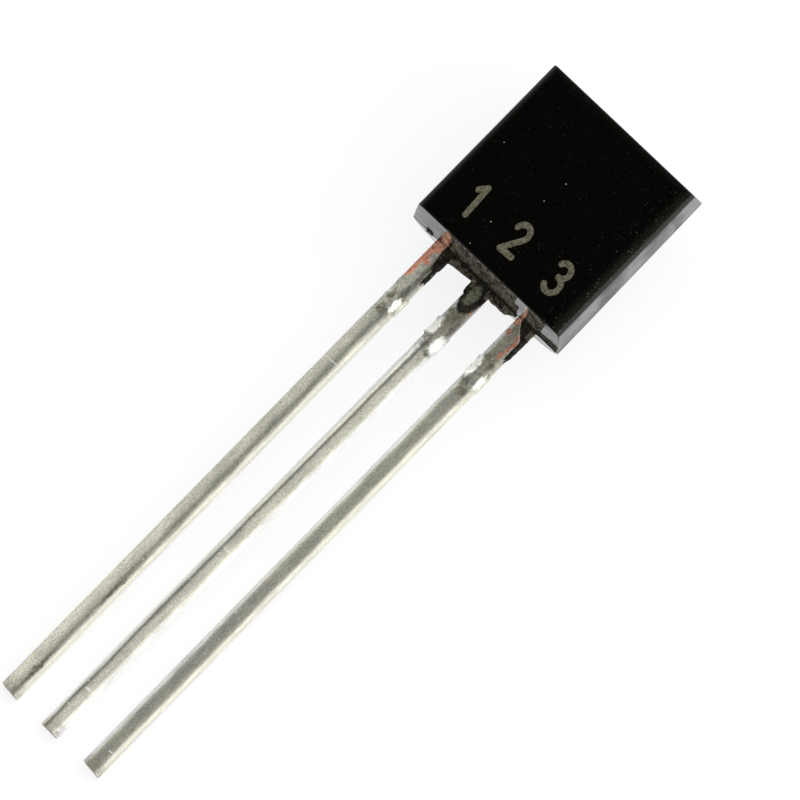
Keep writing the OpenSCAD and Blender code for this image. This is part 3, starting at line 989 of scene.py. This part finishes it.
def tinned_copper(name):
    """Satin tin over copper, speckled and streaked along the lead, worn to copper near the case."""
    made = Finish("tinned_" + name)
    y = LEAD_Y[name]
    ragged = made.ragged_place(0.09, 0.17)
    aside = made.y - y

    def marked(ovals, place=ragged, soft=0.15):
        return made.patches(place, [((x, y + to_left, 0), (half_l, half_w, 0.3))
                                    for x, to_left, half_l, half_w in ovals], soft)

    def streaked(size):
        return made.clouds(size, 2, stretch=(8, 1, 1))

    # The tones across the lead, with their painted reflections, which drift and waver a little along it.
    drift = (made.x + 4.0) * PATTERN_DRIFT[name] + made.x.spread(-2.6, -1.3, 0.0, ROOT_SHIFT[name])
    across = aside + drift + (streaked(0.14) - 0.5) * 0.07
    made.colour = made.shades(across, [(at, tin_tone(tone)) for at, tone in TONES_AND_REFLECTIONS_ACROSS[name]])
    far = made.x.spread(-6.5, -10.5, 0.0, FAR_TONE[name] - 1) * across.spread(-0.12, 0.0)
    made.strengthen(far + 1.0)
    root = made.x.spread(-1.9, -1.2) * ROOT_BARE[name] * across.spread(0.2, 0.12)
    made.lay(root, seen(149, 147, 129))

    # Its grain, streaks and specks.
    right, left = GRAINY[name]
    grainy = across.spread(right - 0.03, right + 0.01) * across.spread(left + 0.03, left - 0.01)
    grainy = grainy * 0.65 + 0.35
    grain = made.clouds(0.04, 5)
    streaks = streaked(0.05)
    broad = made.clouds(0.3, 4, stretch=(2.5, 1, 1))
    mottle = made.clouds(0.1, 4, shift=(7, 1, 3)).spread(0.36, 0.64, -0.2, 0.2) * made.x.spread(-2.7, -1.9)
    on_face = made.z.spread(-0.14, -0.05)
    near_case = made.x.spread(-3.0, -1.7, 1.0, 0.74) * on_face + (1 - on_face)
    for factor in (grain.spread(0.36, 0.64, -0.2, 0.2) * grainy + 1.0,
                   streaks.spread(0.36, 0.64, 0.94, 1.06), broad.spread(0.34, 0.66, 0.9, 1.09),
                   mottle + 1.0, near_case):
        made.strengthen(factor)
    made.lay(made.specks(0.07, 0.014, 0.25) * grainy, tin_tone(112))
    made.lay(made.specks(0.1, 0.013, 0.22, stretch=(1.4, 1, 1)), tin_tone(250))

    # Marks on it, and painted highlights in the punch hollows.
    stain = (marked(STAINS[name], made.ragged_place(0.14, 0.18), 0.5)
             * made.clouds(0.09, 4).spread(0.32, 0.6, 0.3, 0.95))
    made.lay(stain, made.blend(made.clouds(0.2), seen(84, 86, 77), seen(102, 98, 80)))
    # Painted highlight: the punch hollows painted near white, crumpled with pale olive streaks.
    dent_highlight = marked(DENT_HIGHLIGHTS[name], soft=0.3) * made.clouds(0.07, 4).spread(0.24, 0.38)
    crumpled_highlight = made.clouds(0.05, 4, stretch=(1.5, 1, 1), shift=(4, 1, 5)).spread(0.58, 0.68)
    made.lay(dent_highlight, made.blend(crumpled_highlight, seen(255, 255, 248), seen(218, 217, 184)))
    scratch = marked(SCRATCHES[name], made.ragged_place(0.2, 0.03), 0.4)
    made.lay(scratch * 0.7, seen(250, 250, 244))
    near_tip = made.x.spread(0.45 - LEAD_L, 0.05 - LEAD_L) * made.clouds(0.12).spread(0.38, 0.62, 0.1, 0.6)
    made.lay(near_tip, seen(122, 112, 96))

    # Bare copper.
    copper = made.mottled(made.clouds(0.08, 4), 0.36, 0.64, (228, 166, 140), (196, 128, 102))
    for share, tone in ((made.clouds(0.07, 4, shift=(3, 3, 1)).spread(0.5, 0.62), (146, 86, 70)),
                        (made.clouds(0.09, 4, shift=(5, 2, 8)).spread(0.55, 0.66), (236, 190, 164)),
                        (made.x.spread(-0.22, -0.36, 0.0, COPPER_DULLED[name]), (124, 66, 52))):
        copper = made.blend(share, copper, seen(*tone))
    bare = marked(COPPER[name]) * made.clouds(0.06, 4).spread(0.26, 0.4)
    made.lay(bare, copper)

    # Resin left on it as a film: all round the root of the middle lead, up to an edge on the others.
    resin = made.mottled(made.clouds(0.08, 4), 0.4, 0.7, (14, 13, 9), (52, 49, 38))
    if name == "collector_lead":
        film = marked(((-0.12, -0.04, 0.45, 0.34), (-0.45, 0.0, 0.42, 0.24)))
        olive = made.mottled(made.clouds(0.1, 4), 0.36, 0.62, (62, 63, 50), (104, 106, 86))
        resin = made.blend(marked(((-0.37, 0.03, 0.27, 0.125), )), resin, olive)
        lowest = -0.17
    else:
        edge = made.x.spread(*RESIN_EDGE[name]) + (made.clouds(0.1, 4) - 0.5) * 0.1
        past = edge - aside
        film = past.spread(-0.008, 0.012) * made.x.spread(RESIN_END[name] - 0.05, RESIN_END[name] + 0.05)
        # Painted highlight: a light warm line just outside the resin film's edge.
        film_edge_highlight = (past.spread(-0.045, -0.02) * past.spread(0.01, -0.008)
               * made.x.spread(FILM_HIGHLIGHT_END[name] - 0.1, FILM_HIGHLIGHT_END[name] + 0.1)
               * made.clouds(0.08).spread(0.4, 0.55))
        made.lay(film_edge_highlight * 0.8, seen(222, 198, 176))
        lowest = -0.34
    film = film * made.z.spread(lowest, lowest + 0.08)
    made.lay(film, resin)

    # The cut face of the tip.
    facing = made.add("ShaderNodeNewGeometry").outputs["Normal"]
    down = (-cos(REST_TILT), 0, -sin(REST_TILT))
    cut = made.amount("ShaderNodeVectorMath", "Value", {0: facing, 1: down}, operation="DOT_PRODUCT")
    cut = cut.spread(0.6, 0.8) * made.maths("LESS_THAN", made.x, 0.2 - LEAD_L)
    made.lay(cut * 0.8, seen(150, 122, 98))

    rough = broad.spread(0.35, 0.65, 0.44, 0.56) + film * 0.3 - dent_highlight * 0.1
    bright = (1 - film) * (1 - made.most(dent_highlight, bare) * 0.7)
    made.feed(made.shader["Metallic"], bright * TIN_METALLIC)
    return made.finish(rough, grain * 0.6 + streaks, 0.002)


def printed_ink():
    """Thin olive grey ink, a little uneven, with the odd pinhole and bright grain."""
    made = Finish("printed_ink", specular=0.25)
    mottle = made.clouds(0.05, 4)
    made.colour = made.mottled(mottle, 0.34, 0.66, (60, 58, 46), (108, 104, 86))
    thin = made.clouds(0.04, shift=(2, 5, 1)).spread(0.54, 0.64)
    made.lay(thin * 0.7, seen(30, 29, 24))
    made.lay(made.specks(0.12, 0.014, 0.25), seen(34, 33, 28))
    made.lay(made.specks(0.4, 0.016, 0.25), seen(176, 170, 148))
    return made.finish(mottle.spread(0.3, 0.7, 0.62, 0.8), made.clouds(0.03, 2), 0.003)


def chip_silicon():
    """Polished dark silicon with a bright bond pad on each side, inside a fine border."""
    made = Finish("chip_silicon", metallic=0.6)
    across = abs(made.y)
    border = made.most(across, abs(made.x - DIE_X))
    ring = border.spread(DIE_W * 0.42, DIE_W * 0.43) * border.spread(DIE_W * 0.46, DIE_W * 0.45)
    pad = made.most(abs(across - BOND_OUT), abs(made.x - (DIE_X - BOND_OUT)))
    pad = pad.spread(BOND_PAD + 0.004, BOND_PAD - 0.004)
    top = made.z.spread(0.2, 0.215)
    made.colour = made.mottled(made.clouds(0.1), 0.3, 0.7, (58, 60, 72), (78, 80, 96))
    made.lay(ring * top, seen(150, 152, 158))
    made.lay(pad * top, seen(214, 214, 212))
    return made.finish(made.clouds(0.06, 2).spread(0.3, 0.7, 0.16, 0.28), made.clouds(0.02, 2), 0.001)


def chip_solder():
    """Grey solder with a grainy fillet edge."""
    made = Finish("chip_solder", metallic=0.9)
    grain = made.clouds(0.03, 4)
    made.colour = made.mottled(grain, 0.35, 0.65, (168, 168, 172), (204, 203, 202))
    return made.finish(grain.spread(0.3, 0.7, 0.35, 0.6), grain, 0.003)


def drawn_gold():
    """Gold wire with faint lines left by the drawing die."""
    made = Finish("drawn_gold", metallic=1)
    lines = made.clouds(0.01, 2, stretch=(6, 3, 1))
    made.colour = made.mottled(lines, 0.3, 0.7, (232, 184, 96), (246, 206, 128))
    return made.finish(lines.spread(0.3, 0.7, 0.22, 0.34), lines, 0.0008)


# ---- Studio ----

def white_floor():
    """White paper that glows to the camera, so that only a faint shadow shows on it."""
    deselect_all()
    bpy.ops.mesh.primitive_plane_add(size=FLOOR_SIZE, location=(0, 0, 0))
    floor = bpy.context.object
    floor.name = "studio_floor"
    edit(floor, "FACE", everything=True)
    bpy.ops.mesh.subdivide(number_cuts=3)
    finish_edit()
    material = bpy.data.materials.new("white_paper")
    paper = Nodes(material)
    shader = paper.tree.nodes["Principled BSDF"]
    for socket, value in (("Base Color", seen(248, 248, 248)), ("Roughness", 0.9),
                          ("Specular IOR Level", 0.1)):
        paper.feed(shader.inputs[socket], value)
    glow = paper.add("ShaderNodeEmission", {"Color": WHITE})
    rays = paper.add("ShaderNodeLightPath").outputs
    glowing = paper.most(paper.maths("MULTIPLY", rays["Is Camera Ray"], SHADOW_HIDDEN),
                         paper.most(rays["Is Glossy Ray"], rays["Is Transmission Ray"]))
    paper.show("Material Output", glowing, shader.outputs[0], glow.outputs[0])
    floor.data.materials.append(material)


def light_tent():
    """A tent of light that is bright all round and dark right above. The camera sees it plain white."""
    world = bpy.data.worlds.new("light_tent")
    bpy.context.scene.world = world
    sky = Nodes(world)
    x, y, z = sky.axes(sky.add("ShaderNodeTexCoord").outputs["Generated"])
    height = z.spread(TENT_BRIGHT_BELOW, TENT_DARK_ABOVE, 1.0, TENT_DARK)
    right = y.spread(0.0, -0.8, TENT_ENDS, TENT_RIGHT)
    left = y.spread(0.0, 0.8, 0.0, TENT_LEFT - TENT_ENDS)
    foot = x.spread(-0.2, -0.8, 1.0, TENT_FOOT_DIM)
    tent = sky.tree.nodes["Background"]
    sky.feed(tent.inputs["Color"], WHITE)
    sky.feed(tent.inputs["Strength"], (right + left) * foot * height)
    backdrop = sky.add("ShaderNodeBackground", {"Color": WHITE})
    rays = sky.add("ShaderNodeLightPath").outputs
    sky.show("World Output", rays["Is Camera Ray"], tent.outputs[0], backdrop.outputs[0])


def softbox():
    """A square soft lamp, turned to face the device. It lights it, but isn't mirrored in it."""
    deselect_all()
    bpy.ops.object.light_add(type="AREA", location=LAMP_PLACE)
    lamp = bpy.context.object
    lamp.name = "top_softbox"
    lamp.rotation_euler = Vector(LAMP_PLACE).to_track_quat("Z", "Y").to_euler()
    lamp.data.size = LAMP_SIZE
    lamp.data.energy = LAMP_WATTS
    lamp.visible_glossy = False


# ---- The whole scene ----

leads = [stamped_lead(name) for name in LEADS]
case = moulded_case()
resin = broken_resin(leads, case)
seal_in(case, leads)
numbers = pin_numbers()

finish_piece(case, "epoxy", "case", flat_faces=True)
coat(case, moulded_epoxy())
finish_piece(resin, "epoxy", "case")
coat(resin, snapped_resin())
finish_piece(numbers, "epoxy")
coat(numbers, printed_ink())
for lead, lead_name in zip(leads, LEADS):
    finish_piece(lead, "tinned_copper", lead_name)
    coat(lead, tinned_copper(lead_name))
gold = drawn_gold()
for node_name, material in (("silicon_die", chip_silicon()), ("die_attach", chip_solder()),
                            ("emitter_wire", gold), ("base_wire", gold)):
    coat(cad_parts[node_name], material)

bpy.context.scene.view_settings.view_transform = "Standard"
set_camera()
white_floor()
light_tent()
softbox()

bpy.context.view_layer.update()
